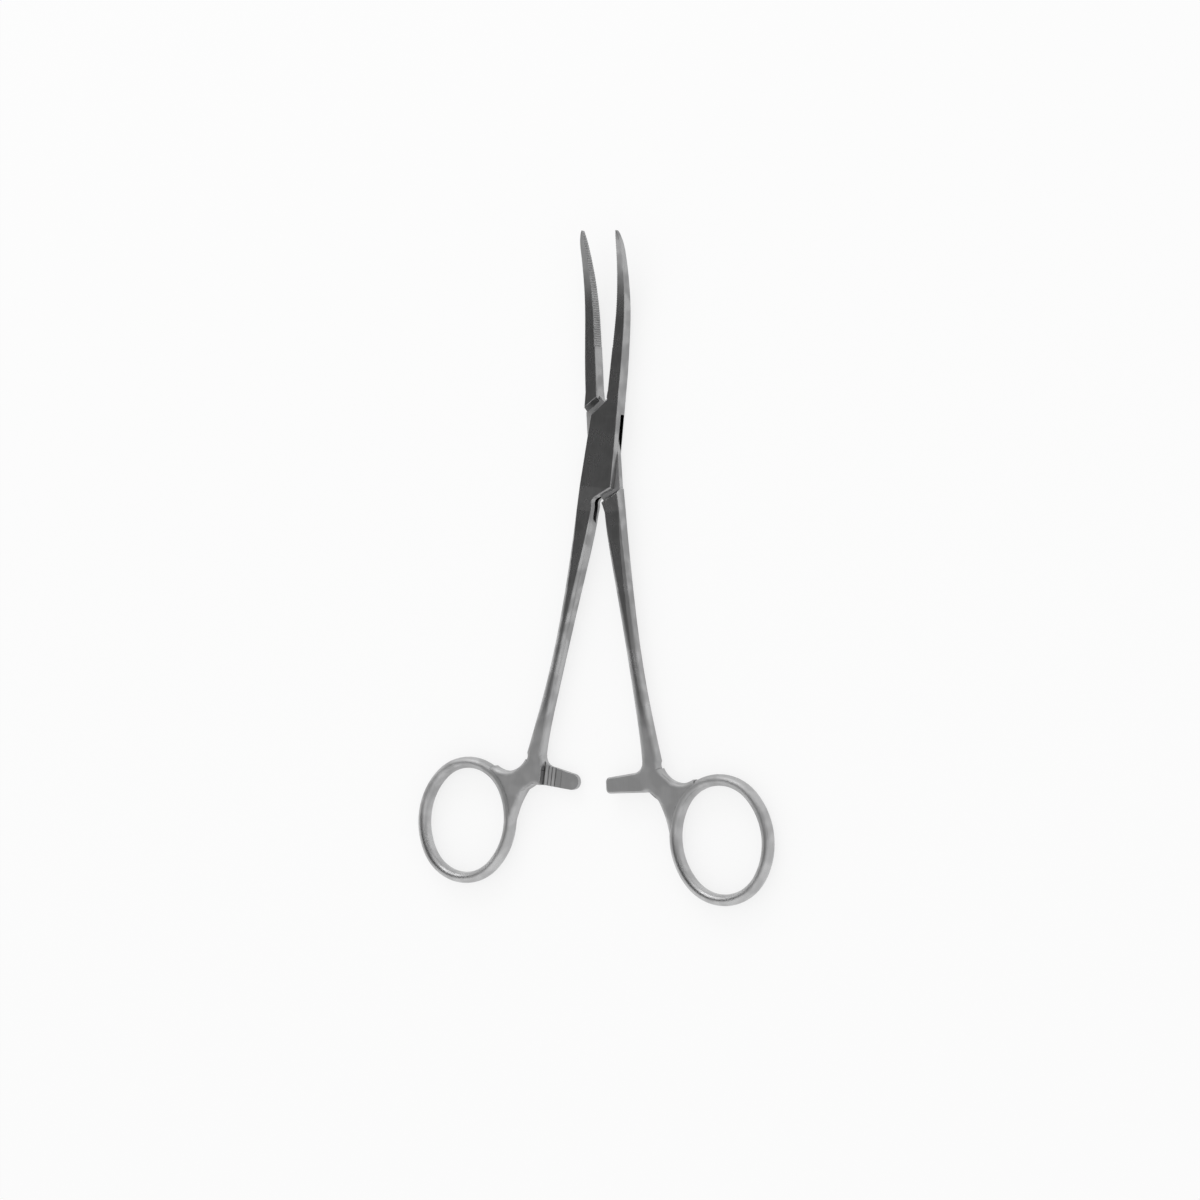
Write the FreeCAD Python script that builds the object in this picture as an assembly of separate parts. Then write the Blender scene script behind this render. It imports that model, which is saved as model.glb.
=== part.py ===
import FreeCAD, Part
from collections import namedtuple
import math
import os

V = FreeCAD.Vector
Station = namedtuple("Station", "inner outer thick front_edge inner_back outer_back")

# Curved hemostat forceps with a box lock, 16 cm class, lying flat with the jaw tips curving up.
# Millimetres. +Z up, +Y towards the tips. The origin is on the joint axis, level with the underside
# of the lock. Both halves are drawn closed with the midline at X = 0, then turned open about the
# origin. Every outline is drawn on the +X side: a half is its jaw there and its shank mirrored.

# Lock
lock_thick = 5.0          # front face to back face of the box
front_wall = 2.0          # wall above the slot
slot_gap = 1.7            # height of the slot between the walls
slot_play = 0.05          # room above and below the waist in the slot
pin_dia = 3.0
pin_play = 0.04           # radial running clearance of the through half on the pin
box_near = (3.05, 8.6)    # box corner beside the other half's jaw, from the joint axis
box_crotch = (0.25, 11.9)     # where that edge of the box meets the box half's own jaw
box_far = (4.05, 9.05)    # box corner beside the other half's shank
box_heel = (0.35, 11.5)   # where that edge meets the box half's own shank
heel_round = 2.0          # drop over which that edge rounds into the shank's inner edge
box_edge = 0.35           # bevel of the front wall's diagonal edges
lock_bevel = 0.1          # bevel of the lock's front edges along its sides
lock_back_bevel = 1.15    # the same at the back
jaw_shoulder_room = 0.15  # jaw shoulder to the facing box edge, closed, at their inner ends
jaw_shoulder_flare = 9.5  # angle at which that room opens up along the edge, degrees
shank_shoulder_room = 0.1     # the same for the shank shoulder
shank_shoulder_flare = 5.5
heel_past = 0.2           # shank shoulder's inner end, past the midline
ramp_run = 0.9            # shoulder's front edge to the foot of its ribbed ramp, in plan
ramp_ribs = 3             # steps of the ramp, cut side by side
waist_half = 4.1          # midline to the sides of the waist
waist_reach = 8.0         # joint axis to the end of the waist's sides
slot_room = 0.5           # room between the ends of the waist's sides and the ends of the slot
slot_runout = 18.0        # joint axis to the slot's end on the shank's inner side
slot_crown = 13.0         # joint axis to the slot's end on the jaw's inner side

# Jaws
jaw_root = 14.0           # joint axis to the start of the jaw's curve
jaw_half_root = 3.15      # midline to outer edge of the front face at the root
jaw_lean = 0.35           # how far the jaw's outer side leans in from back to front
jaw_drop = 0.5            # front of the box down to the front of the jaw at its root
jaw_dip = 0.2             # further drop to the tip, before the upward curve
jaw_reach = 52.3          # joint axis to tip
jaw_half_tip = 1.03       # the same at the start of the nose
jaw_back_bevel = 0.8      # bevel of the jaw's back at its root
jaw_thick_root = 4.1
jaw_thick_tip = 2.3
nose_length = 4.3         # rounded end of the tip
curve_start = 30.0        # joint axis to the start of the upward curve
curve_rise = 5.0          # how far the tip stands above the straight jaw
face_gap = 0.03           # each serrated face to the midline, closed
root_gap = 0.22           # further gap of each face at the jaw root
tip_lead = 0.4            # how far each tip leans past the midline: unloaded, the tips meet first
tooth_pitch = 0.56
tooth_depth = 0.2
teeth_start = 24.5        # first serration, from the joint axis
teeth_end = 52.0          # last serration

# Shanks, at even steps down from the lock: inner and outer edge, thickness, then the bevels of
# the front edges, the inner back edge and the outer back edge
shank_top = 15.0          # joint axis to the first step
fork_top = 5.4            # last step above the middle of the ratchet bars
shank_stations = [
    Station(0.50, 4.45, 4.3, 0.1, 0.1, 0.8), Station(1.45, 5.00, 4.3, 0.6, 0.6, 0.8),
    Station(2.93, 5.85, 4.0, 0.8, 0.8, 0.8), Station(4.40, 7.05, 3.75, 0.8, 0.8, 0.8),
    Station(5.87, 8.80, 3.6, 0.6, 0.8, 0.8), Station(6.90, 11.0, 3.6, 0.45, 0.6, 0.8)]

# Fork into the ring, at even steps further down
fork_end = 12.1           # last step below the middle of the ratchet bars
fork_stations = shank_stations[-1:] + [
    Station(7.50, 12.4, 3.6, 0.45, 0.5, 0.8), Station(9.40, 15.6, 3.6, 0.45, 0.5, 0.8),
    Station(11.2, 16.0, 3.6, 0.6, 0.7, 0.8), Station(12.4, 15.2, 3.6, 0.8, 0.8, 0.8),
    Station(13.1, 15.0, 3.4, 0.8, 0.8, 0.8)]
crotch_out = 6.0          # centre of the scoop between shank and ring, from the shank's outer edge
crotch_above = 6.0        # the same, above the middle of the ratchet bars
crotch_radius = 6.05
crotch_span = (203, 300)  # directions of the scoop's two ends from its centre, degrees
crotch_edge = 0.7         # bevel along the scoop
web_deep = 5.5            # solid below the scoop

# Ratchet
ratchet_reach = 80.4      # joint axis to the middle of the bars
bar_height_end = 3.9      # bar from top to bottom edge at its end
bar_height_root = 4.7
bar_past = 3.1            # how far each bar's end passes the midline, closed
bar_play = 0.08           # clearance between the facing sides of the two bars
bar_edge = 0.4            # bevel of the edges
bar_root = 6.5            # midline to the end of the bar's half thickness
crook_above = 2.5         # fillet radius between bar and shank above the bar
crook_below = 3.2         # the same below the bar
rear_end_round = 1.9      # corner radius of the rear bar's end
front_end_round = 1.1     # corner radius of the front bar's end
rack_pitch = 0.95
rack_depth = 0.5
rack_teeth = 3
rear_rack = 3.3           # first tooth of the rear bar, from the midline towards its shank
front_rack = -2.9         # first tooth of the front bar, past the midline near its end
pad_end = 1.6             # end of the rear bar's smooth pad
pad_step = 0.15           # drop from the pad to the ground beside it

# Rings
ring_below = 13.7         # ring centre below the middle of the ratchet bars
ring_inset = 0.2          # middle of the fork's end to the centreline of the ring's side
ring_half_wide = 12.05    # centreline of the ring's wire
ring_half_long = 14.2
ring_end_radius = 11.0    # centreline round the top and bottom of the oval
ring_lean = 3.9           # lean of the ring's long axis towards the midline, degrees
wire_wide = 2.75
wire_deep = 4.2

# Opening of the halves in the drawn pose, 0 is closed
rest_opening = 10.4

slot_floor = lock_thick - front_wall - slot_gap
slot_roof = lock_thick - front_wall
lock_mid = lock_thick / 2
ring_mid = wire_deep / 2
ring_x = (fork_stations[-1].inner + fork_stations[-1].outer) / 2 + ring_inset + ring_half_wide
handle_thick = fork_stations[0].thick
tall = 3 * lock_thick     # height of a cutting solid that passes right through


def prism(points, low, high):
    """Upright solid from a plan outline of straight edges."""
    corners = [V(x, y, low) for x, y in points]
    return Part.Face(Part.makePolygon(corners + corners[:1])).extrude(V(0, 0, high - low))


def section(y, left, right, low, high, front_left, front_right, back_left, back_right, lean=0):
    """Cross-section at one Y: four bevelled corners, the right side leaning in towards the front."""
    corners = [
        (left, low + back_left), (left, high - front_left), (left + front_left, high),
        (right - lean - front_right, high), (right - lean, high - front_right),
        (right, low + back_right), (right - back_right, low), (left + back_left, low)]
    outline = [V(x, y, z) for x, z in corners]
    return Part.makePolygon(outline + outline[:1])


def beyond(start, end, reach, low, high):
    """Solid filling the left-hand side of the line from start to end, out to reach."""
    run = V(end[0] - start[0], end[1] - start[1], 0).normalize()
    side = V(-run.y, run.x, 0)
    a = V(*start, 0) - run * reach
    b = V(*end, 0) + run * reach
    corners = [a, b, b + side * reach, a + side * reach]
    return prism([(p.x, p.y) for p in corners], low, high)


def edge_cut(start, end, profile, top):
    """Cuts a profile of (distance out, height above top) along an upper edge, material on its right."""
    run = V(end[0] - start[0], end[1] - start[1], 0).normalize()
    side = V(-run.y, run.x, 0)
    spare = profile[-1][0]
    foot = V(*start, top) - run * spare
    corners = [foot + side * out + V(0, 0, rise) for out, rise in profile]
    outline = Part.Face(Part.makePolygon(corners + corners[:1]))
    return outline.extrude(V(end[0] - start[0], end[1] - start[1], 0) + run * 2 * spare)


def bevel(start, end, size, top):
    """Wedge that takes a 45 degree bevel off a straight upper edge, material on its right."""
    spare = 0.4
    profile = [(spare, -size - spare), (-size - spare, spare), (spare, spare)]
    return edge_cut(start, end, profile, top)


def mirrored(shape):
    return shape.mirror(V(0, 0, 0), V(1, 0, 0))


# Jaw

def nose(y):
    """Share of the full section left at Y as the tip rounds off."""
    past = max(0, (y - jaw_reach + nose_length) / nose_length)
    return math.sqrt(max(0, 1 - past * past))


def jaw_face(y):
    """Midline to the jaw's inner face."""
    open_share = max(0, 1 - (y - jaw_root) / (0.7 * (jaw_reach - jaw_root)))
    lead_share = max(0, (y - jaw_root) / (jaw_reach - jaw_root)) ** 2
    return face_gap + root_gap * open_share - tip_lead * lead_share


def jaw_section(y):
    run = (y - jaw_root) / (jaw_reach - nose_length - jaw_root)
    lean = jaw_lean * (1 - 0.6 * min(1, run)) * nose(y)
    half = jaw_half_root - (jaw_half_root - jaw_half_tip) * run ** 1.5 + lock_bevel + lean
    thick = jaw_thick_root + (jaw_thick_tip - jaw_thick_root) * run ** 1.6
    climb = max(0, (y - curve_start) / (jaw_reach - curve_start))
    front = lock_thick - jaw_drop - jaw_dip * run + curve_rise * climb ** 2
    left = jaw_face(y) + 0.15 * (1 - nose(y)) * jaw_half_tip
    right = left + (half - left) * nose(y)
    trim = 0.25 * thick * (1 - nose(y))
    back_bevel = jaw_back_bevel * (1 - 0.5 * min(1, run)) * nose(y)
    small = min(lock_bevel, 0.2 * (right - left))
    return section(y, left, right, front - thick + trim, front - trim,
                   small, small, small, min(back_bevel, 8 * small), lean)


def jaw(shift):
    """Tapered jaw curving up to a rounded tip, with cross serrations starting shift later."""
    nose_root = jaw_reach - nose_length
    taper = [jaw_root + (nose_root - jaw_root) * step / 8 for step in range(9)]
    tip = [nose_root + nose_length * share for share in (0, 0.3, 0.55, 0.75, 0.9, 0.98)]
    body = Part.makeLoft([jaw_section(y) for y in taper], True, False)
    body = body.fuse(Part.makeLoft([jaw_section(y) for y in tip], True, False))
    grooves = []
    y = teeth_start + shift
    while y + tooth_pitch < teeth_end:
        grooves += [(jaw_face(y) + 0.02, y), (jaw_face(y) + tooth_depth, y + tooth_pitch / 2)]
        y += tooth_pitch
    grooves += [(jaw_face(y) + 0.02, y), (-2, y), (-2, teeth_start + shift)]
    return body.cut(prism(grooves, -1, lock_thick + 2 * curve_rise))


# Shank, ratchet bar and ring, drawn on the +X side

def stations_loft(stations, top, bottom, top_mid, bottom_mid):
    """Loft down the shank from drop top to drop bottom, its middle height going the same way."""
    sections = []
    for step, at in enumerate(stations):
        share = step / (len(stations) - 1)
        middle = top_mid + (bottom_mid - top_mid) * share
        sections.append(section(-top - (bottom - top) * share, at.inner, at.outer,
                                middle - at.thick / 2, middle + at.thick / 2, at.front_edge,
                                at.front_edge, at.inner_back, at.outer_back))
    return Part.makeLoft(sections, True, False)


def web():
    """Fills the fork between shank and ring down to a rounded, bevelled scoop."""
    hole = Part.Face(Part.Wire(Part.Ellipse(V(0, 0, 0), ring_half_long - wire_wide / 4,
                                            ring_half_wide - wire_wide / 4).toShape()))
    hole.rotate(V(0, 0, 0), V(0, 0, 1), 90 + ring_lean)
    hole.translate(V(ring_x, -ratchet_reach - ring_below, 0))
    centre = V(fork_stations[0].outer + crotch_out, crotch_above - ratchet_reach,
               ring_mid - handle_thick / 2)
    start, end = crotch_span
    band = Part.makeCylinder(crotch_radius + web_deep, handle_thick, centre, V(0, 0, 1),
                             end - start)
    band.rotate(centre, V(0, 0, 1), start)
    band = band.cut(Part.makeCylinder(crotch_radius, handle_thick, centre))
    rims = [edge for edge in band.Edges if isinstance(edge.Curve, Part.Circle)
            and edge.Curve.Radius < crotch_radius + web_deep / 2]
    return band.makeChamfer(crotch_edge, rims).cut(hole.extrude(V(0, 0, tall)))


def arc_tube(centre, radius, start, sweep):
    """Stretch of the ring's oval wire, bent round one arc centre in the XY plane."""
    middle = V(centre[0] + radius, centre[1], 0)
    oval = Part.Ellipse(middle + V(0, 0, wire_deep / 2), middle + V(wire_wide / 2, 0, 0), middle)
    face = Part.Face(Part.Wire(oval.toShape()))
    face.rotate(V(*centre, 0), V(0, 0, 1), start)
    return face.revolve(V(*centre, 0), V(0, 0, 1), sweep)


def ring():
    """Oval finger ring: four arcs that run into each other, two round the ends, two round the sides."""
    end_rise = ring_half_long - ring_end_radius
    side_radius = ((end_rise ** 2 + ring_half_wide ** 2 - ring_end_radius ** 2)
                   / (2 * (ring_half_wide - ring_end_radius)))
    side_shift = side_radius - ring_half_wide
    turn = math.degrees(math.atan2(end_rise, side_shift))
    loop = arc_tube((-side_shift, 0), side_radius, -turn, 2 * turn)
    for stretch in (arc_tube((0, end_rise), ring_end_radius, turn, 180 - 2 * turn),
                    arc_tube((side_shift, 0), side_radius, 180 - turn, 2 * turn),
                    arc_tube((0, -end_rise), ring_end_radius, 180 + turn, 180 - 2 * turn)):
        loop = loop.fuse(stretch)
    loop.rotate(V(0, 0, 0), V(0, 0, 1), ring_lean)
    loop.translate(V(ring_x, -ratchet_reach - ring_below, ring_mid))
    return loop


def bar(front, end_round):
    """Ratchet bar with its fillets into the shank. The front bar has its teeth on its back."""
    low = -ratchet_reach - bar_height_end / 2
    root_top = low + bar_height_root
    end_top = low + bar_height_end
    shank_in = shank_stations[-1].inner
    heel_in = shank_in + crook_above + 2
    tip = -bar_past
    slant = math.sqrt(0.5)
    r, up, down = end_round, crook_above, crook_below
    outline = [
        Part.LineSegment(V(shank_in + 2, root_top + up, 0), V(shank_in, root_top + up, 0)),
        Part.Arc(V(shank_in, root_top + up, 0),
                 V(shank_in - up * (1 - slant), root_top + up * (1 - slant), 0),
                 V(shank_in - up, root_top, 0)),
        Part.LineSegment(V(shank_in - up, root_top, 0), V(tip + r, end_top, 0)),
        Part.Arc(V(tip + r, end_top, 0), V(tip + r * (1 - slant), end_top - r * (1 - slant), 0),
                 V(tip, end_top - r, 0)),
        Part.LineSegment(V(tip, end_top - r, 0), V(tip, low + r, 0)),
        Part.Arc(V(tip, low + r, 0), V(tip + r * (1 - slant), low + r * (1 - slant), 0),
                 V(tip + r, low, 0)),
        Part.LineSegment(V(tip + r, low, 0), V(heel_in - down, low, 0)),
        Part.Arc(V(heel_in - down, low, 0),
                 V(heel_in - down * (1 - slant), low - down * (1 - slant), 0),
                 V(heel_in, low - down, 0)),
        Part.LineSegment(V(heel_in, low - down, 0), V(heel_in + 1.5, low - down, 0)),
        Part.LineSegment(V(heel_in + 1.5, low - down, 0), V(shank_in + 2, root_top + up, 0))]
    plan = Part.Face(Part.Wire([edge.toShape() for edge in outline]))
    plan.translate(V(0, 0, ring_mid - handle_thick / 2))
    body = plan.extrude(V(0, 0, handle_thick))
    body = body.makeChamfer(bar_edge, [edge for edge in body.Edges if edge.BoundBox.ZLength < 0.1
                                       and edge.BoundBox.XMax < heel_in + 0.1])
    # Ground seen from the side: (distance from the midline, depth below the meeting plane)
    if front:
        ground, first = [(-2 * bar_past, 0), (front_rack, 0)], front_rack
    else:
        ground = [(-2 * bar_past, 0), (pad_end, 0), (pad_end, pad_step), (rear_rack, pad_step)]
        first = rear_rack
    for tooth in range(rack_teeth):
        start = first + tooth * rack_pitch
        ground += [(start, rack_depth), (start + rack_pitch, 0)]
    ground += [(bar_root, 0), (bar_root, -tall), (-2 * bar_past, -tall)]
    side = -1 if front else 1
    corners = [V(x, -2 * ratchet_reach, ring_mid - side * (bar_play / 2 + depth))
               for x, depth in ground]
    space = Part.Face(Part.makePolygon(corners + corners[:1]))
    return body.cut(space.extrude(V(0, 2 * ratchet_reach, 0)))


def handle(front, end_round):
    """Shank, ratchet bar and finger ring of one half."""
    fork_start = ratchet_reach - fork_top
    body = stations_loft(shank_stations, shank_top, fork_start, lock_mid, ring_mid)
    fork = stations_loft(fork_stations, fork_start, ratchet_reach + fork_end, ring_mid, ring_mid)
    for piece in (fork, web(), ring(), bar(front, end_round)):
        body = body.fuse(piece)
    return body


# Lock, drawn with the jaw on the +X side and the shank on the -X side

def lock_block():
    """Full-thickness block of the lock, before its ends are cut back and it is slotted."""
    jaw_side = jaw_half_root + lock_bevel + jaw_lean
    top = shank_stations[0]
    jaw_bevels = (lock_bevel, lock_bevel, lock_bevel, jaw_back_bevel, jaw_lean)
    side_bevels = (lock_bevel, lock_bevel, lock_back_bevel, lock_back_bevel)
    shank_bevels = (top.front_edge, top.front_edge, top.outer_back, top.outer_back)
    far_side = box_far[0] + 0.2
    near_side = box_near[0] + 0.2
    sections = []
    for y, low, high, bevels in (
            (jaw_root, lock_thick - jaw_drop - jaw_thick_root, lock_thick - jaw_drop, jaw_bevels),
            (box_near[1], 0, lock_thick, side_bevels), (-box_far[1], 0, lock_thick, side_bevels),
            (-shank_top, lock_mid - top.thick / 2, lock_mid + top.thick / 2, shank_bevels)):
        right = jaw_side + (far_side - jaw_side) * (jaw_root - y) / (jaw_root + box_far[1])
        left = near_side + (top.outer - near_side) * (box_near[1] - y) / (box_near[1] + shank_top)
        sections.append(section(y, -left, right, low, high, *bevels))
    return Part.makeLoft(sections, True, True)


def heel_space():
    """What the box loses under its lower edge, rounded into the shank's inner edge."""
    end = -shank_top
    inner = -shank_stations[0].inner
    slope = (box_far[1] - box_heel[1]) / (box_far[0] - box_heel[0])
    out = 3 * box_far[0]
    start = V(out, -box_heel[1] - slope * (out - box_heel[0]), 0)
    heel = V(box_heel[0], -box_heel[1], 0)
    bend = heel - V(0.375 * heel_round, 0.325 * heel_round, 0)
    foot = V(inner + 0.05, -box_heel[1] - heel_round, 0)
    edges = [Part.LineSegment(start, heel), Part.Arc(heel, bend, foot),
             Part.LineSegment(foot, V(inner, end - 1, 0)),
             Part.LineSegment(V(inner, end - 1, 0), V(out, end - 1, 0)),
             Part.LineSegment(V(out, end - 1, 0), start)]
    plan = Part.Face(Part.Wire([edge.toShape() for edge in edges]))
    plan.translate(V(0, 0, -lock_thick))
    return plan.extrude(V(0, 0, tall))


def slot():
    """Space between the box's walls, which runs out on the inner sides of jaw and shank."""
    side = 2 * waist_half
    end = waist_reach + slot_room
    inner = shank_stations[0].inner
    crown_slope = (slot_crown - end) / waist_half
    runout_slope = (slot_runout - end) / (waist_half - inner)
    outline = [(side, end - crown_slope * (side - waist_half)), (0, slot_crown),
               (-side, slot_crown), (-side, -end + runout_slope * (side - waist_half)),
               (-inner, -slot_runout), (side, -slot_runout)]
    return prism(outline, slot_floor, slot_roof)


def box():
    """Female part of the lock, before it is slotted."""
    near = (-box_near[0], box_near[1])
    far = (box_far[0], -box_far[1])
    heel = (box_heel[0], -box_heel[1])
    body = lock_block()
    body = body.cut(beyond(near, box_crotch, 3 * lock_thick, -lock_thick, tall).common(
        prism([(-tall, -tall), (box_crotch[0], -tall), (box_crotch[0], tall), (-tall, tall)],
              -lock_thick, tall)))
    body = body.cut(heel_space())
    body = body.cut(bevel(near, box_crotch, box_edge, lock_thick))
    return body.cut(bevel(far, heel, box_edge, lock_thick))


def turned(point, about, angle):
    """Plan point turned about another, degrees anticlockwise."""
    c, s = math.cos(math.radians(angle)), math.sin(math.radians(angle))
    x, y = point[0] - about[0], point[1] - about[1]
    return (about[0] + c * x - s * y, about[1] + s * x + c * y)


def facing(start, end, room, flare):
    """Shoulder line that faces a box edge: room away at its start, then flaring off."""
    length = math.hypot(end[0] - start[0], end[1] - start[1])
    off = (-(end[1] - start[1]) / length * room, (end[0] - start[0]) / length * room)
    foot = (start[0] + off[0], start[1] + off[1])
    return foot, turned((end[0] + off[0], end[1] + off[1]), foot, flare)


def ramp(start, end):
    """Cuts the ribbed ramp from a shoulder's front edge down to the waist, material on its right."""
    drop = lock_thick - slot_roof + slot_play
    rib_run, rib_drop = ramp_run / ramp_ribs, drop / ramp_ribs
    profile = [(0, -drop)]
    for rib in range(1, ramp_ribs + 1):
        profile += [(-rib * rib_run, -drop + (rib - 0.25) * rib_drop),
                    (-rib * rib_run, -drop + rib * rib_drop)]
    return edge_cut(start, end, profile + [(-ramp_run, 1), (1, 1), (1, -drop)], lock_thick)


def through_lock():
    """Male part of the lock: a thin waist between two shoulders, bored for the pin."""
    jaw_in = jaw_face(jaw_root)
    shank_in = -shank_stations[0].inner
    far = 2 * shank_top + jaw_root
    # The other half's box edges, seen from this side, and the shoulders that face them when closed
    jaw_foot, jaw_out = facing((-box_crotch[0], box_crotch[1]), box_near, jaw_shoulder_room,
                               jaw_shoulder_flare)
    shank_heel, shank_foot = facing((-box_heel[0], -box_heel[1]), (-box_far[0], -box_far[1]),
                                    shank_shoulder_room, shank_shoulder_flare)
    heel_inner = (heel_past, -box_heel[1] - heel_round / 2)
    block = lock_block()
    jaw_piece = block.cut(beyond(jaw_out, jaw_foot, far, -lock_thick, tall)).cut(
        prism([(jaw_in, -far), (jaw_in, far), (-far, far), (-far, -far)], -lock_thick, tall))
    shank_piece = block.cut(beyond(shank_foot, shank_heel, far, -lock_thick, tall)).cut(
        prism([(shank_in, -far), (far, -far), (far, far), (heel_past, far), heel_inner,
               (shank_in, -shank_top)], -lock_thick, tall))
    jaw_piece = jaw_piece.cut(ramp(jaw_out, jaw_foot))
    shank_piece = shank_piece.cut(ramp(shank_foot, shank_heel))
    side = waist_half
    outline = [(jaw_in, jaw_root - 1), (-side + 0.3, waist_reach), (-side, -waist_reach - 1),
               (-side, shank_foot[1] - 1), heel_inner,
               (side - 0.3, -waist_reach), (side, waist_reach), (side, jaw_out[1])]
    low, high = slot_floor + slot_play, slot_roof - slot_play
    waist = prism(outline, low, high)
    waist = waist.cut(bevel((side, waist_reach + 4), (side, 0), lock_bevel, high))
    body = waist.fuse(jaw_piece).fuse(shank_piece)
    return body.cut(Part.makeCylinder(pin_dia / 2 + pin_play, lock_thick))


def lock_pin():
    """Plain pin, pressed through both walls of the box and ground flush."""
    return Part.makeCylinder(pin_dia / 2, lock_thick)


def box_half():
    """Half that carries the box: jaw, box, shank, rear ratchet bar and ring in one forging."""
    body = box().fuse(jaw(0)).fuse(mirrored(handle(False, rear_end_round)))
    body = body.cut(slot()).cut(Part.makeCylinder(pin_dia / 2, lock_thick))
    body.rotate(V(0, 0, 0), V(0, 0, 1), -rest_opening / 2)
    return body


def through_half():
    """Half that passes through the box: jaw, waist, shank, front ratchet bar and ring."""
    body = through_lock().fuse(jaw(tooth_pitch / 2)).fuse(mirrored(handle(True, front_end_round)))
    body = mirrored(body)
    body.rotate(V(0, 0, 0), V(0, 0, 1), rest_opening / 2)
    return body


PIECES = {"box_half": box_half, "through_half": through_half, "lock_pin": lock_pin}

if __name__ == "__main__":
    os.makedirs("parts", exist_ok=True)
    for name, make in PIECES.items():
        make().exportStep("parts/" + name + ".step")
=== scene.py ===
import math

import bpy
from mathutils import Euler, Matrix, Vector


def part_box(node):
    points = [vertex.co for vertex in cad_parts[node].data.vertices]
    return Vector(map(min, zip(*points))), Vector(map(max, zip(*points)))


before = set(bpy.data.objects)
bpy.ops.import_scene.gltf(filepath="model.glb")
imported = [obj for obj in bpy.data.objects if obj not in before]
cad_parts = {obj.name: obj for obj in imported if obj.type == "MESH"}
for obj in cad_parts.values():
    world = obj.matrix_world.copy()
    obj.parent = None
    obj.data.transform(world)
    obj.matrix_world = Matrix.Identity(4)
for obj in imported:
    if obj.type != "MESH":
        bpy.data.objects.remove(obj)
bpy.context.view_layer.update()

bl_info = {
    "name": "Hemostat Forceps",
    "version": (1, 0, 0),
    "blender": (4, 5, 0),
    "location": "View3D > Sidebar > Hemostat",
    "description": "Satin steel finishes, soft light and a camera for curved hemostat forceps",
    "category": "Object",
}

MM = 0.001
LOCK_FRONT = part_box("lock_pin")[1].z
REST_TURN = math.radians(5.2)

# Where things lie along a half in its own place, from the joint: plus towards the tip
JAW_SHOULDER = (7.5 * MM, 14.5 * MM)
SHANK_SHOULDER = (-14.5 * MM, -8.0 * MM)
SERRATIONS = (24.4 * MM, 52.2 * MM)
SHANK_SOFTENS = (-18.0 * MM, -60.0 * MM)
HANDLE_STARTS = (-30.0 * MM, -80.0 * MM)
FORK = (-88.0 * MM, -70.0 * MM)
RATCHET_BAR = (-82.6 * MM, -78.0 * MM)
# Heights between the walls of the box
SLOT_HEIGHTS = (1.25 * MM, 3.05 * MM)
# Moves the mirrored half's patterns, so that they don't repeat the other's
PATTERN_SHIFT = (0.3, 0.1, 0.2)
SOFTBOX_PLACE = (-0.25, 1.0, 0.55)
SOFTBOX_SIZE = (0.9, 0.35)


# Node helpers

def add(tree, kind, **settings):
    """New node with its attributes set."""
    node = tree.nodes.new(kind)
    for name, value in settings.items():
        setattr(node, name, value)
    return node


def feed(tree, target, *values):
    """Sets a node's inputs in order: sockets are linked, values written and None left."""
    for socket, value in zip(target.inputs, values):
        if isinstance(value, bpy.types.NodeSocket):
            tree.links.new(value, socket)
        elif value is not None:
            socket.default_value = value
    return target.outputs[0]


def maths(tree, operation, *values, clamp=False):
    return feed(tree, add(tree, "ShaderNodeMath", operation=operation, use_clamp=clamp), *values)


def vector_maths(tree, operation, *values):
    node = add(tree, "ShaderNodeVectorMath", operation=operation)
    feed(tree, node, *values)
    return node.outputs["Value"] if operation in ("DOT_PRODUCT", "LENGTH") else node.outputs[0]


def blend(tree, share, low, high):
    """Number that runs from low to high with share."""
    return feed(tree, add(tree, "ShaderNodeMapRange"), share, 0.0, 1.0, low, high)


def step(tree, value, start, end, low=0.0, high=1.0):
    """Smooth step from low to high as value goes from start to end."""
    node = add(tree, "ShaderNodeMapRange", interpolation_type="SMOOTHSTEP")
    return feed(tree, node, value, start, end, low, high)


def band(tree, value, low, high, soft):
    """1 while value lies between low and high, running out smoothly over soft on both sides."""
    return maths(tree, "MULTIPLY", step(tree, value, low - soft, low),
                 step(tree, value, high + soft, high))


def noise(tree, place, scale, detail=2.0, roughness=0.5):
    node = add(tree, "ShaderNodeTexNoise")
    tree.links.new(place, node.inputs["Vector"])
    node.inputs["Scale"].default_value = scale
    node.inputs["Detail"].default_value = detail
    node.inputs["Roughness"].default_value = roughness
    return node.outputs["Fac"]


def new_group(name, inputs, outputs):
    """Empty shader group: inputs are (name, type, default), outputs (name, type)."""
    tree = bpy.data.node_groups.new(name, "ShaderNodeTree")
    for label, kind, default in inputs:
        socket = tree.interface.new_socket(label, in_out="INPUT", socket_type=kind)
        if default is not None:
            socket.default_value = default
    for label, kind in outputs:
        tree.interface.new_socket(label, in_out="OUTPUT", socket_type=kind)
    return tree, tree.nodes.new("NodeGroupInput").outputs, tree.nodes.new("NodeGroupOutput")


def place_group(tree, name, **inputs):
    node = add(tree, "ShaderNodeGroup", node_tree=bpy.data.node_groups[name])
    for label, value in inputs.items():
        socket = node.inputs[label.replace("_", " ")]
        if isinstance(value, bpy.types.NodeSocket):
            tree.links.new(value, socket)
        else:
            socket.default_value = value
    return node.outputs


# Shared surface effects

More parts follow.
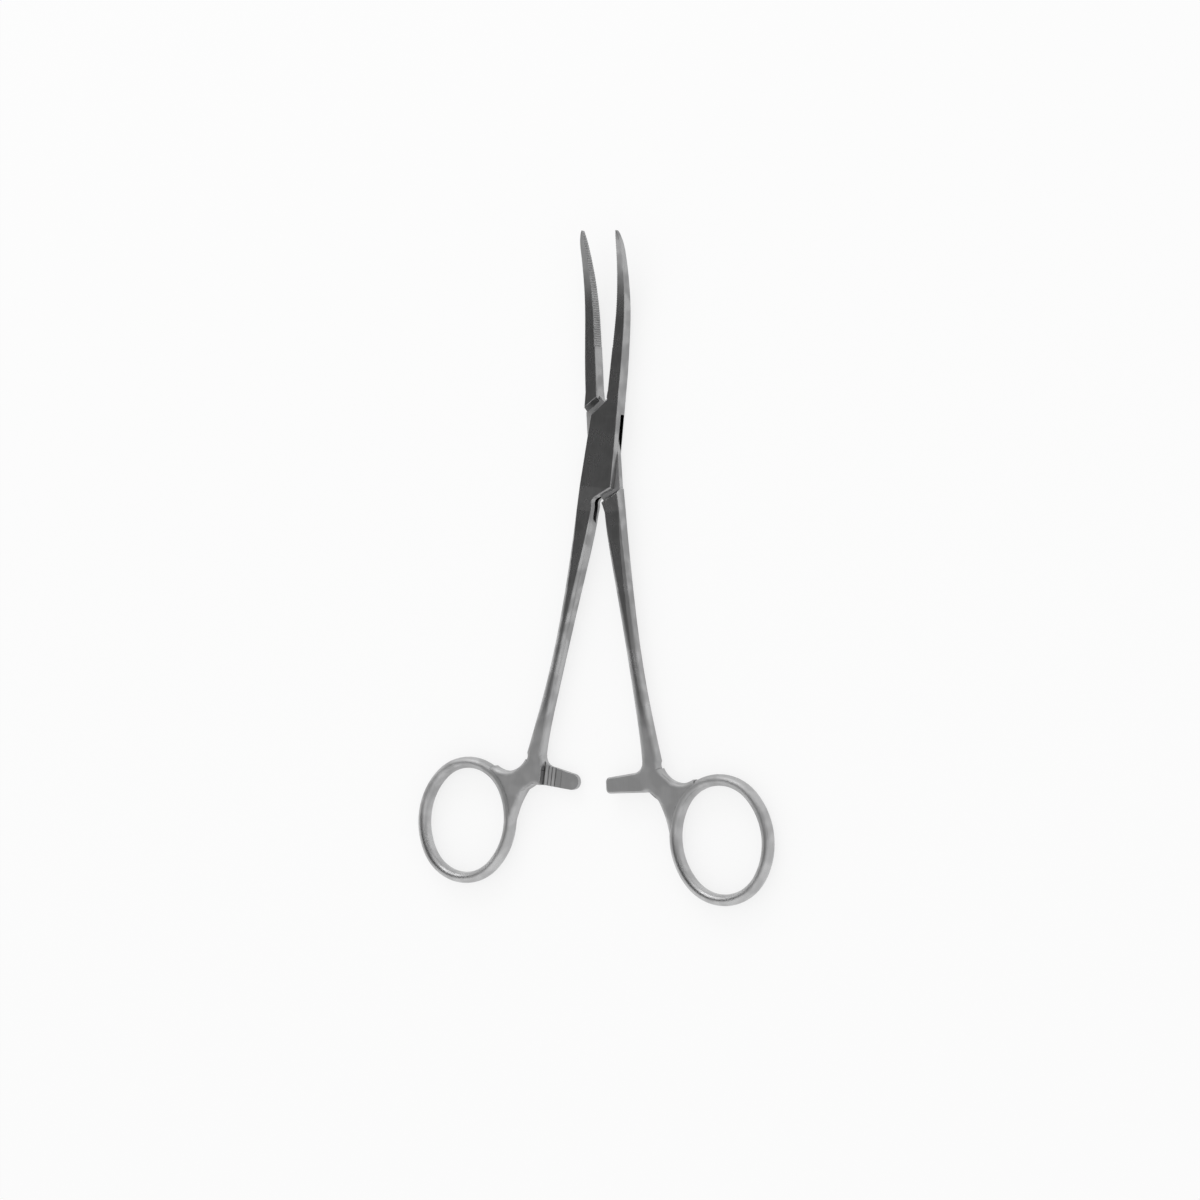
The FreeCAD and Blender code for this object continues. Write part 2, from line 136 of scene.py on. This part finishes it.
def satin_grain():
    """Fine lines left by the belt along a half, from several overlaid streak sizes."""
    tree, given, out = new_group(
        "Satin Grain",
        [("Place", "NodeSocketVector", None), ("Lines", "NodeSocketFloat", 4000.0)],
        [("Grain", "NodeSocketFloat")])
    stretched = vector_maths(tree, "MULTIPLY", given["Place"], (1.0, 0.04, 1.0))
    fine = add(tree, "ShaderNodeTexNoise")
    feed(tree, fine, stretched, None, given["Lines"], 3.0, 0.6)
    coarse = add(tree, "ShaderNodeTexNoise")
    feed(tree, coarse, stretched, None, maths(tree, "MULTIPLY", given["Lines"], 0.3), 2.0, 0.5)
    total = maths(tree, "ADD", fine.outputs["Fac"], coarse.outputs["Fac"])
    tree.links.new(maths(tree, "MULTIPLY", total, 0.5), out.inputs["Grain"])


def cloudy_polish():
    """Soft clouds of the finish: slightly duller and wavier patches a few millimetres wide."""
    tree, given, out = new_group(
        "Cloudy Polish",
        [("Place", "NodeSocketVector", None), ("Size", "NodeSocketFloat", 0.004)],
        [("Clouds", "NodeSocketFloat"), ("Waves", "NodeSocketFloat")])
    scale = maths(tree, "DIVIDE", 1.0, given["Size"])
    clouds = add(tree, "ShaderNodeTexNoise")
    feed(tree, clouds, given["Place"], None, scale, 1.0, 0.5)
    waves = add(tree, "ShaderNodeTexNoise")
    feed(tree, waves, given["Place"], None, maths(tree, "MULTIPLY", scale, 0.6), 1.0, 0.4)
    tree.links.new(step(tree, clouds.outputs["Fac"], 0.38, 0.62), out.inputs["Clouds"])
    tree.links.new(waves.outputs["Fac"], out.inputs["Waves"])


def hair_scratches():
    """Sparse hair-thin scratches in two directions, from handling and instrument trays."""
    tree, given, out = new_group(
        "Hair Scratches",
        [("Place", "NodeSocketVector", None), ("Spread", "NodeSocketFloat", 260.0)],
        [("Scratches", "NodeSocketFloat")])
    found = []
    for turn, stretch in ((0.5, 0.05), (-0.9, 0.08)):
        turned = add(tree, "ShaderNodeMapping")
        feed(tree, turned, given["Place"], None, (0.0, 0.0, turn), (1.0, stretch, 1.0))
        cells = add(tree, "ShaderNodeTexVoronoi", feature="DISTANCE_TO_EDGE")
        tree.links.new(turned.outputs[0], cells.inputs["Vector"])
        tree.links.new(given["Spread"], cells.inputs["Scale"])
        found.append(step(tree, cells.outputs["Distance"], 0.0, 0.012, 1.0, 0.0))
    patches = step(tree, noise(tree, given["Place"], 120.0), 0.52, 0.62)
    both = maths(tree, "MAXIMUM", *found)
    tree.links.new(maths(tree, "MULTIPLY", both, patches), out.inputs["Scratches"])


def half_zones():
    """Zones of a half in its own place, closed and with its jaw on the +X side."""
    tree, given, out = new_group(
        "Half Zones",
        [("Place", "NodeSocketVector", None), ("Facing", "NodeSocketVector", None)],
        [("Shoulders", "NodeSocketFloat"), ("Slot", "NodeSocketFloat"),
         ("Teeth", "NodeSocketFloat"), ("Handle", "NodeSocketFloat"),
         ("Fork", "NodeSocketFloat"), ("Ratchet", "NodeSocketFloat")])
    place = add(tree, "ShaderNodeSeparateXYZ")
    feed(tree, place, given["Place"])
    facing = add(tree, "ShaderNodeSeparateXYZ")
    feed(tree, facing, given["Facing"])
    across, along, high = place.outputs
    level = maths(tree, "ABSOLUTE", facing.outputs["Z"])
    steep = step(tree, level, 0.75, 0.55)

    jaw_shoulder = band(tree, along, *JAW_SHOULDER, MM)
    shank_shoulder = band(tree, along, *SHANK_SHOULDER, MM)
    slot = maths(tree, "MULTIPLY", band(tree, high, *SLOT_HEIGHTS, 0.04 * MM),
                 step(tree, level, 0.5, 0.8))
    reach = maths(tree, "MULTIPLY", step(tree, along, -17.0 * MM, -9.0 * MM),
                  step(tree, along, 17.5 * MM, 13.5 * MM))
    face = step(tree, maths(tree, "ABSOLUTE", across), 0.6 * MM, 0.5 * MM)
    teeth = maths(tree, "MULTIPLY", face, band(tree, along, *SERRATIONS, 0.2 * MM))
    bars = maths(tree, "MULTIPLY", step(tree, across, -7.4 * MM, -6.4 * MM),
                 band(tree, along, *RATCHET_BAR, 0.6 * MM))

    tree.links.new(maths(tree, "MAXIMUM", jaw_shoulder, shank_shoulder), out.inputs["Shoulders"])
    tree.links.new(maths(tree, "MULTIPLY", slot, reach), out.inputs["Slot"])
    tree.links.new(maths(tree, "MULTIPLY", teeth, steep), out.inputs["Teeth"])
    tree.links.new(step(tree, along, *HANDLE_STARTS), out.inputs["Handle"])
    tree.links.new(band(tree, along, *FORK, 9.0 * MM), out.inputs["Fork"])
    tree.links.new(bars, out.inputs["Ratchet"])


def edge_rounding_and_highlight():
    """Rounded normal along edges, and how strongly an edge turns there, for painted edge
    highlights.
    """
    tree, given, out = new_group(
        "Edge Rounding And Highlight",
        [("Place", "NodeSocketVector", None), ("Ratchet", "NodeSocketFloat", 0.0),
         ("Crisp Radius", "NodeSocketFloat", 0.00012), ("Soft Radius", "NodeSocketFloat", 0.0006),
         ("Pin Radius", "NodeSocketFloat", 0.0026)],
        [("Normal", "NodeSocketVector"), ("Edges", "NodeSocketFloat")])
    split = add(tree, "ShaderNodeSeparateXYZ")
    feed(tree, split, given["Place"])
    softness = maths(tree, "MULTIPLY", step(tree, split.outputs["Y"], *SHANK_SOFTENS),
                     maths(tree, "SUBTRACT", 1.0, given["Ratchet"]))
    radius = feed(tree, add(tree, "ShaderNodeMapRange"), softness, 0.0, 1.0,
                  given["Crisp Radius"], given["Soft Radius"])
    flat = vector_maths(tree, "MULTIPLY", given["Place"], (1.0, 1.0, 0.0))
    away = maths(tree, "GREATER_THAN", vector_maths(tree, "LENGTH", flat), given["Pin Radius"])
    bevel = add(tree, "ShaderNodeBevel", samples=6)
    tree.links.new(maths(tree, "MULTIPLY", radius, away), bevel.inputs["Radius"])
    geometry = add(tree, "ShaderNodeNewGeometry")
    facing = vector_maths(tree, "DOT_PRODUCT", bevel.outputs["Normal"], geometry.outputs["Normal"])
    tree.links.new(bevel.outputs["Normal"], out.inputs["Normal"])
    tree.links.new(step(tree, facing, 0.97, 0.86), out.inputs["Edges"])


def recess_painted_shade():
    """Painted shade in narrow recesses, from ambient occlusion: 0 where the surface is clear, 1
    where it is closed in.
    """
    tree, given, out = new_group(
        "Recess Painted Shade",
        [("Reach", "NodeSocketFloat", 0.0012), ("Clear", "NodeSocketFloat", 0.75),
         ("Closed", "NodeSocketFloat", 0.15)],
        [("Painted Shade", "NodeSocketFloat")])
    shade = add(tree, "ShaderNodeAmbientOcclusion", samples=4, only_local=True)
    tree.links.new(given["Reach"], shade.inputs["Distance"])
    tree.links.new(step(tree, shade.outputs["AO"], given["Clear"], given["Closed"]),
                   out.inputs["Painted Shade"])


EFFECTS = (satin_grain, cloudy_polish, hair_scratches, half_zones, edge_rounding_and_highlight, recess_painted_shade)


def satin_steel(name, finish, mirrored=False, slot_painted_light=0.02, slot_dullness=0.0):
    """Satin ground stainless steel for a half, with its grain running along that half. Its colour
    also carries painted shade in recesses, painted edge highlights, rings painted lighter, and a
    painted slot colour: below 1 painted shade, above 1 painted light.
    """
    material = bpy.data.materials.new(name)
    material.use_nodes = True
    tree = material.node_tree
    shader = tree.nodes["Principled BSDF"]
    where = add(tree, "ShaderNodeTexCoord")
    own = add(tree, "ShaderNodeMapping")
    feed(tree, own, where.outputs["Object"], None, (0.0, 0.0, REST_TURN),
         (-1.0 if mirrored else 1.0, 1.0, 1.0))
    own = own.outputs[0]
    place = vector_maths(tree, "ADD", own, PATTERN_SHIFT if mirrored else (0.0, 0.0, 0.0))

    zones = place_group(tree, "Half Zones", Place=own, Facing=where.outputs["Normal"])
    grain = place_group(tree, "Satin Grain", Place=place, Lines=finish.grain_lines)["Grain"]
    polish = place_group(tree, "Cloudy Polish", Place=place, Size=finish.cloud_size)
    scratches = place_group(tree, "Hair Scratches", Place=place)["Scratches"]
    edges = place_group(tree, "Edge Rounding And Highlight", Place=own, Ratchet=zones["Ratchet"],
                        Crisp_Radius=finish.crisp_edge, Soft_Radius=finish.soft_edge)
    # Painted shade in recesses, from ambient occlusion; it also makes them duller
    recess_shade = place_group(tree, "Recess Painted Shade", Reach=finish.painted_shade_reach)["Painted Shade"]
    # Painted shade in the serrations and ribs, from a short ambient occlusion
    painted_notch_shade = place_group(tree, "Recess Painted Shade", Reach=finish.notch_shade_reach, Clear=0.95,
                          Closed=0.6)["Painted Shade"]

    steel = Vector(finish.steel_colour)
    ribbed = maths(tree, "MAXIMUM", zones["Shoulders"], zones["Teeth"])
    # Painted highlight: edges are lighter, most of all on the ribbed shoulders and serrations
    painted_edge_highlight = maths(tree, "MULTIPLY", edges["Edges"], blend(tree, ribbed, 0.05, 1.0))
    painted_recess_shade = maths(tree, "MULTIPLY", recess_shade, blend(tree, zones["Shoulders"], 1.0, 0.15))
    painted_notch_shade = maths(tree, "MULTIPLY", painted_notch_shade, blend(tree, zones["Shoulders"], 1.0, 0.15))
    clouds = maths(tree, "MULTIPLY", polish["Clouds"], blend(tree, zones["Handle"], 1.0, 0.35))
    streaks = maths(tree, "MULTIPLY", step(tree, grain, 0.42, 0.62),
                    blend(tree, zones["Handle"], 1.0, 0.2))
    colour = (*steel, 1.0)
    # Layers over the steel colour: the rings painted lighter (painted light), random darker clouds,
    # grain streaks, darker serrated faces, painted shade in recesses and in the serrations and
    # ribs, painted edge highlights, and the slot's painted colour: painted shade in the box half,
    # painted light in the through half
    for share, amount, other in (
            (zones["Handle"], 1.0, steel * finish.handle_painted_light), (clouds, 1.0, steel * 0.66),
            (streaks, 0.5, steel * 0.8), (zones["Teeth"], 0.15, steel * 0.1),
            (painted_recess_shade, 0.7, steel * 0.15), (painted_notch_shade, 0.95, steel * 0.05), (painted_edge_highlight, 0.9, steel * 2.1),
            (zones["Slot"], 1.0, steel * slot_painted_light)):
        mix = add(tree, "ShaderNodeMix", data_type="RGBA")
        tree.links.new(maths(tree, "MULTIPLY", share, amount), mix.inputs["Factor"])
        if isinstance(colour, tuple):
            mix.inputs["A"].default_value = colour
        else:
            tree.links.new(colour, mix.inputs["A"])
        mix.inputs["B"].default_value = (*other, 1.0)
        colour = mix.outputs["Result"]
    tree.links.new(colour, shader.inputs["Base Color"])

    dullness = maths(tree, "MULTIPLY_ADD", grain, 0.10, finish.roughness - 0.05)
    dullness = maths(tree, "MULTIPLY_ADD", polish["Clouds"], 0.05, dullness)
    dullness = maths(tree, "MULTIPLY_ADD", scratches, 0.05, dullness)
    dullness = maths(tree, "MULTIPLY_ADD", zones["Slot"], slot_dullness, dullness)
    dullness = maths(tree, "MULTIPLY_ADD", zones["Fork"], finish.fork_dullness, dullness)
    dullness = maths(tree, "MULTIPLY_ADD", maths(tree, "MULTIPLY", painted_edge_highlight, ribbed), 0.3, dullness)
    recess = blend(tree, zones["Shoulders"], 0.15, 0.5)
    tree.links.new(maths(tree, "MULTIPLY_ADD", recess_shade, recess, dullness),
                   shader.inputs["Roughness"])

    height = maths(tree, "MULTIPLY", polish["Waves"], finish.wave_height)
    height = maths(tree, "MULTIPLY_ADD", grain, finish.grain_height, height)
    bump = add(tree, "ShaderNodeBump")
    bump.inputs["Distance"].default_value = 1.0
    tree.links.new(height, bump.inputs["Height"])
    tree.links.new(edges["Normal"], bump.inputs["Normal"])
    tree.links.new(bump.outputs["Normal"], shader.inputs["Normal"])
    shader.inputs["Metallic"].default_value = 1.0
    return material


def dress(node_name, material):
    """Gives a CAD node this material in all its slots."""
    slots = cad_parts[node_name].material_slots
    if not slots:
        raise RuntimeError(node_name + " has no material slot")
    for slot in slots:
        slot.material = material


# Settings

class HemostatFinish(bpy.types.PropertyGroup):
    steel_colour: bpy.props.FloatVectorProperty(
        name="Steel Colour", description="Reflected colour of the clean satin steel",
        subtype="COLOR", size=3, min=0.0, max=1.0, default=(0.42, 0.42, 0.422))
    # Painted light: the rings' colour is made lighter than the lock's, standing in for their
    # brighter reflections
    handle_painted_light: bpy.props.FloatProperty(
        name="Handle Painted Light", description="Brightness of the rings' finish against the lock's",
        default=1.25)
    fork_dullness: bpy.props.FloatProperty(
        name="Fork Dullness",
        description="Extra roughness where a shank, its bar and its ring meet",
        subtype="FACTOR", min=0.0, max=1.0, default=0.2)
    roughness: bpy.props.FloatProperty(
        name="Roughness", description="Average roughness of the satin finish",
        subtype="FACTOR", min=0.05, max=1.0, default=0.27)
    grain_lines: bpy.props.FloatProperty(
        name="Grain Lines", description="How fine the satin lines are", default=4000.0)
    grain_height: bpy.props.FloatProperty(
        name="Grain Height", description="Depth of the satin lines",
        subtype="DISTANCE", unit="LENGTH", precision=7, default=0.000003)
    wave_height: bpy.props.FloatProperty(
        name="Wave Height", description="Waviness that hand polishing leaves",
        subtype="DISTANCE", unit="LENGTH", precision=7, default=0.00006)
    cloud_size: bpy.props.FloatProperty(
        name="Cloud Size", description="Width of the softer patches in the finish",
        subtype="DISTANCE", unit="LENGTH", precision=4, default=0.0045)
    crisp_edge: bpy.props.FloatProperty(
        name="Crisp Edge", description="Edge rounding at the jaws and the lock",
        subtype="DISTANCE", unit="LENGTH", precision=5, default=0.00013)
    soft_edge: bpy.props.FloatProperty(
        name="Soft Edge", description="Edge rounding on the shanks and rings",
        subtype="DISTANCE", unit="LENGTH", precision=5, default=0.0013)
    # Painted shade: ambient occlusion over this reach darkens the steel colour in recesses
    painted_shade_reach: bpy.props.FloatProperty(
        name="Painted Shade Reach", description="Width of the recesses that stay darker",
        subtype="DISTANCE", unit="LENGTH", precision=5, default=0.001)
    # Painted shade: a short ambient occlusion darkens the serrations and ribs
    notch_shade_reach: bpy.props.FloatProperty(
        name="Notch Reach", description="Width of the serrations and ribs that stay darker",
        subtype="DISTANCE", unit="LENGTH", precision=5, default=0.0004)


class HemostatStage(bpy.types.PropertyGroup):
    floor_colour: bpy.props.FloatVectorProperty(
        name="Floor Colour", description="Colour of the floor",
        subtype="COLOR", size=3, min=0.0, max=1.0, default=(0.93, 0.93, 0.93))
    floor_size: bpy.props.FloatProperty(
        name="Floor Size", description="Side of the square floor",
        subtype="DISTANCE", unit="LENGTH", default=6.0)
    floor_glow: bpy.props.FloatProperty(
        name="Floor Whiteness", description="Share of plain white in the floor as it is seen",
        subtype="FACTOR", min=0.0, max=1.0, default=0.75)
    sky_level: bpy.props.FloatProperty(
        name="Sky Level", description="Strength of the even light from all round", default=0.88)
    panel_height: bpy.props.FloatProperty(
        name="Panel Height", description="Height of the dark overhead panel above the floor",
        subtype="DISTANCE", unit="LENGTH", default=1.2)
    panel_low: bpy.props.FloatVectorProperty(
        name="Panel Low Corner",
        description="Corner of the dark panel to the left, towards the rings",
        subtype="XYZ_LENGTH", unit="LENGTH", size=2, default=(-1.7, -0.55))
    panel_high: bpy.props.FloatVectorProperty(
        name="Panel High Corner",
        description="Corner of the dark panel to the right, towards the tips",
        subtype="XYZ_LENGTH", unit="LENGTH", size=2, default=(0.9, 1.1))
    flag_size: bpy.props.FloatVectorProperty(
        name="Flag Size", description="Height and width of the dark flag on the right",
        subtype="XYZ_LENGTH", unit="LENGTH", size=2, default=(0.8, 1.25))
    flag_distance: bpy.props.FloatProperty(
        name="Flag Distance", description="Instrument to the dark flag",
        subtype="DISTANCE", unit="LENGTH", default=1.3)
    flag_height: bpy.props.FloatProperty(
        name="Flag Height", description="Angle of the flag's middle above the floor",
        subtype="ANGLE", unit="ROTATION", default=math.radians(28.0))
    flag_side: bpy.props.FloatProperty(
        name="Flag Side", description="Angle of the flag's middle from the right towards the tips",
        subtype="ANGLE", unit="ROTATION", default=math.radians(22.0))
    card_border: bpy.props.FloatProperty(
        name="Card Border", description="Width of the dark cards' soft borders",
        subtype="DISTANCE", unit="LENGTH", default=0.3)
    card_tone: bpy.props.FloatProperty(
        name="Card Tone", description="Brightness of the dark cards", default=0.1)
    softbox_level: bpy.props.FloatProperty(
        name="Softbox Level", description="Brightness of the long softbox beyond the tips",
        default=2.4)


class HemostatCamera(bpy.types.PropertyGroup):
    lean: bpy.props.FloatProperty(
        name="Lean", description="Angle of the view from straight above towards the right",
        subtype="ANGLE", unit="ROTATION", default=math.radians(28.0))
    tilt: bpy.props.FloatProperty(
        name="Tilt", description="Angle of the view towards the tips",
        subtype="ANGLE", unit="ROTATION", default=math.radians(1.11))
    roll: bpy.props.FloatProperty(
        name="Roll", description="Turn of the picture about the line of sight",
        subtype="ANGLE", unit="ROTATION", default=math.radians(1.91))
    distance: bpy.props.FloatProperty(
        name="Distance", description="Camera to the point that it aims at",
        subtype="DISTANCE", unit="LENGTH", default=0.8123)
    aim_right: bpy.props.FloatProperty(
        name="Aim Right", description="Aimed point to the right of the joint axis in the picture",
        subtype="DISTANCE", unit="LENGTH", precision=5, default=-0.00092)
    aim_down: bpy.props.FloatProperty(
        name="Aim Down", description="Aimed point below the joint axis in the picture",
        subtype="DISTANCE", unit="LENGTH", precision=5, default=0.03601)
    lens: bpy.props.FloatProperty(
        name="Lens", description="Focal length on a sensor 36 mm wide", default=101.6)


# Operators

class HEMOSTAT_OT_effects(bpy.types.Operator):
    """Build the shared surface effects that every steel finish uses"""
    bl_idname = "hemostat.effects"
    bl_label = "Surface Effects"

    def execute(self, context):
        for build in EFFECTS:
            build()
        return {"FINISHED"}


class HEMOSTAT_OT_box_half(bpy.types.Operator):
    """Finish the half that carries the box of the lock"""
    bl_idname = "hemostat.box_half"
    bl_label = "Box Half"

    def execute(self, context):
        finish = context.scene.hemostat_finish
        # The box's slot keeps the near-black default slot colour: painted shade
        dress("box_half", satin_steel("Box Half Steel", finish))
        return {"FINISHED"}


class HEMOSTAT_OT_through_half(bpy.types.Operator):
    """Finish the half that passes through the box"""
    bl_idname = "hemostat.through_half"
    bl_label = "Through Half"

    def execute(self, context):
        finish = context.scene.hemostat_finish
        # The through half's faces in the slot are painted lighter than the steel (painted light)
        # and made duller
        steel = satin_steel("Through Half Steel", finish, mirrored=True, slot_painted_light=1.3,
                            slot_dullness=0.25)
        dress("through_half", steel)
        return {"FINISHED"}


class HEMOSTAT_OT_lock_pin(bpy.types.Operator):
    """Finish the pin, ground flush together with the box"""
    bl_idname = "hemostat.lock_pin"
    bl_label = "Lock Pin"

    def execute(self, context):
        finish = context.scene.hemostat_finish
        dress("lock_pin", satin_steel("Lock Pin Steel", finish))
        return {"FINISHED"}


def seen_directly(tree):
    """1 for camera, mirror-like and see-through rays, which show a surface as it is."""
    path = add(tree, "ShaderNodeLightPath")
    glossy = maths(tree, "ADD", path.outputs["Is Glossy Ray"],
                   path.outputs["Is Transmission Ray"])
    return maths(tree, "ADD", path.outputs["Is Camera Ray"], glossy, clamp=True)


def make_floor(stage):
    """Pale floor under the instrument. It keeps the shadow at part strength."""
    bpy.ops.mesh.primitive_plane_add(size=stage.floor_size, location=(0.0, 0.0, -0.01 * MM))
    floor = bpy.context.object
    floor.name = "floor"
    material = bpy.data.materials.new("Pale Floor")
    material.use_nodes = True
    tree = material.node_tree
    shader = tree.nodes["Principled BSDF"]
    shader.inputs["Base Color"].default_value = (*stage.floor_colour, 1.0)
    shader.inputs["Roughness"].default_value = 0.9
    shader.inputs["Specular IOR Level"].default_value = 0.0
    glow = add(tree, "ShaderNodeEmission")
    share = maths(tree, "MULTIPLY", seen_directly(tree), stage.floor_glow)
    mix = add(tree, "ShaderNodeMixShader")
    tree.links.new(share, mix.inputs[0])
    tree.links.new(shader.outputs[0], mix.inputs[1])
    tree.links.new(glow.outputs[0], mix.inputs[2])
    tree.links.new(mix.outputs[0], tree.nodes["Material Output"].inputs["Surface"])
    floor.data.materials.append(material)
    return floor


def make_sky(stage):
    """Even white all round, weaker as a light than as a background or reflection."""
    world = bpy.data.worlds.new("Soft Sky")
    bpy.context.scene.world = world
    world.use_nodes = True
    tree = world.node_tree
    sky = tree.nodes["Background"]
    sky.inputs["Color"].default_value = (1.0, 1.0, 1.0, 1.0)
    strength = blend(tree, seen_directly(tree), stage.sky_level, 1.0)
    tree.links.new(strength, sky.inputs["Strength"])


def make_card(name, stage, place, turn, size):
    """Dark card with soft borders, which only mirror-like rays meet."""
    bpy.ops.mesh.primitive_plane_add(size=1.0, location=place, rotation=turn)
    card = bpy.context.object
    card.name = name
    card.scale = (*size, 1.0)
    material = bpy.data.materials.new(name)
    material.use_nodes = True
    tree = material.node_tree
    tree.nodes.remove(tree.nodes["Principled BSDF"])
    split = add(tree, "ShaderNodeSeparateXYZ")
    feed(tree, split, add(tree, "ShaderNodeTexCoord").outputs["Generated"])
    cover = 1.0
    for axis, width in zip("XY", size):
        soft = stage.card_border / width
        for start, end in ((0.0, soft), (1.0, 1.0 - soft)):
            cover = maths(tree, "MULTIPLY", cover, step(tree, split.outputs[axis], start, end))
    dark = add(tree, "ShaderNodeEmission")
    dark.inputs["Strength"].default_value = stage.card_tone
    mix = add(tree, "ShaderNodeMixShader")
    tree.links.new(cover, mix.inputs[0])
    tree.links.new(add(tree, "ShaderNodeBsdfTransparent").outputs[0], mix.inputs[1])
    tree.links.new(dark.outputs[0], mix.inputs[2])
    tree.links.new(mix.outputs[0], tree.nodes["Material Output"].inputs["Surface"])
    card.data.materials.append(material)
    card.visible_camera = False
    card.visible_diffuse = False
    card.visible_shadow = False
    return card


def make_panel(stage):
    """Overhead card, which flat steel facing up mirrors."""
    low, high = Vector(stage.panel_low), Vector(stage.panel_high)
    place = (*((low + high) / 2), stage.panel_height)
    return make_card("overhead_panel", stage, place, (0.0, 0.0, 0.0), high - low)


def make_flag(stage):
    """Upright card on the right, which the shanks' outer bevels mirror."""
    turn = Euler((0.0, math.pi / 2 - stage.flag_height, stage.flag_side))
    place = turn.to_matrix() @ Vector((0.0, 0.0, stage.flag_distance))
    return make_card("side_flag", stage, place, turn, stage.flag_size)


def make_softbox(name, place, width, height, level):
    """Rectangular soft light aimed at the instrument."""
    light = bpy.data.lights.new(name, "AREA")
    light.shape = "RECTANGLE"
    light.size = width
    light.size_y = height
    light.energy = level * math.pi * width * height
    lamp = bpy.data.objects.new(name, light)
    lamp.location = place
    lamp.rotation_euler = Vector(place).to_track_quat("Z", "Y").to_euler()
    bpy.context.scene.collection.objects.link(lamp)
    return lamp


class HEMOSTAT_OT_stage(bpy.types.Operator):
    """Set up the pale floor, the even sky, the two dark cards and the softbox"""
    bl_idname = "hemostat.stage"
    bl_label = "Stage"

    def execute(self, context):
        stage = context.scene.hemostat_stage
        make_sky(stage)
        softbox = make_softbox("tip_softbox", SOFTBOX_PLACE, *SOFTBOX_SIZE, stage.softbox_level)
        make_floor(stage)
        make_panel(stage)
        make_flag(stage)
        context.scene.view_settings.view_transform = "Standard"
        return {"FINISHED"}


class HEMOSTAT_OT_camera(bpy.types.Operator):
    """Set up the camera above and to the right, looking down on the instrument"""
    bl_idname = "hemostat.camera"
    bl_label = "Camera"

    def execute(self, context):
        view = context.scene.hemostat_camera
        back = Vector((math.sin(view.lean) * math.cos(view.tilt), math.sin(view.tilt),
                       math.cos(view.lean) * math.cos(view.tilt)))
        level = Vector((math.cos(view.lean), 0.0, -math.sin(view.lean)))
        upright = back.cross(level)
        right = math.cos(view.roll) * level + math.sin(view.roll) * upright
        up = math.cos(view.roll) * upright - math.sin(view.roll) * level
        aim = Vector((0.0, 0.0, LOCK_FRONT / 2)) + view.aim_right * right - view.aim_down * up
        data = bpy.data.cameras.new("camera")
        data.sensor_width = 36.0
        data.lens = view.lens
        camera = bpy.data.objects.new("camera", data)
        turn = Matrix((right, up, back)).transposed().to_4x4()
        camera.matrix_world = Matrix.Translation(aim + view.distance * back) @ turn
        context.scene.collection.objects.link(camera)
        context.scene.camera = camera
        return {"FINISHED"}


class HEMOSTAT_PT_sidebar(bpy.types.Panel):
    """Finishes, stage and camera of the hemostat"""
    bl_label = "Hemostat"
    bl_idname = "HEMOSTAT_PT_sidebar"
    bl_space_type = "VIEW_3D"
    bl_region_type = "UI"
    bl_category = "Hemostat"

    def draw(self, context):
        for group in (context.scene.hemostat_finish, context.scene.hemostat_stage,
                      context.scene.hemostat_camera):
            column = self.layout.column()
            for name in group.__annotations__:
                column.prop(group, name)
        for operator in STEPS:
            self.layout.operator(operator.bl_idname)


SETTINGS = {"hemostat_finish": HemostatFinish, "hemostat_stage": HemostatStage,
            "hemostat_camera": HemostatCamera}
STEPS = (HEMOSTAT_OT_effects, HEMOSTAT_OT_box_half, HEMOSTAT_OT_through_half,
         HEMOSTAT_OT_lock_pin, HEMOSTAT_OT_stage, HEMOSTAT_OT_camera)


def register():
    for kind in (*SETTINGS.values(), *STEPS, HEMOSTAT_PT_sidebar):
        bpy.utils.register_class(kind)
    for name, kind in SETTINGS.items():
        setattr(bpy.types.Scene, name, bpy.props.PointerProperty(type=kind))


def unregister():
    for name in SETTINGS:
        delattr(bpy.types.Scene, name)
    for kind in reversed((*SETTINGS.values(), *STEPS, HEMOSTAT_PT_sidebar)):
        bpy.utils.unregister_class(kind)


def main():
    register()
    bpy.ops.hemostat.effects()
    bpy.ops.hemostat.box_half()
    bpy.ops.hemostat.through_half()
    bpy.ops.hemostat.lock_pin()
    bpy.ops.hemostat.stage()
    bpy.ops.hemostat.camera()


if __name__ == "__main__":
    main()
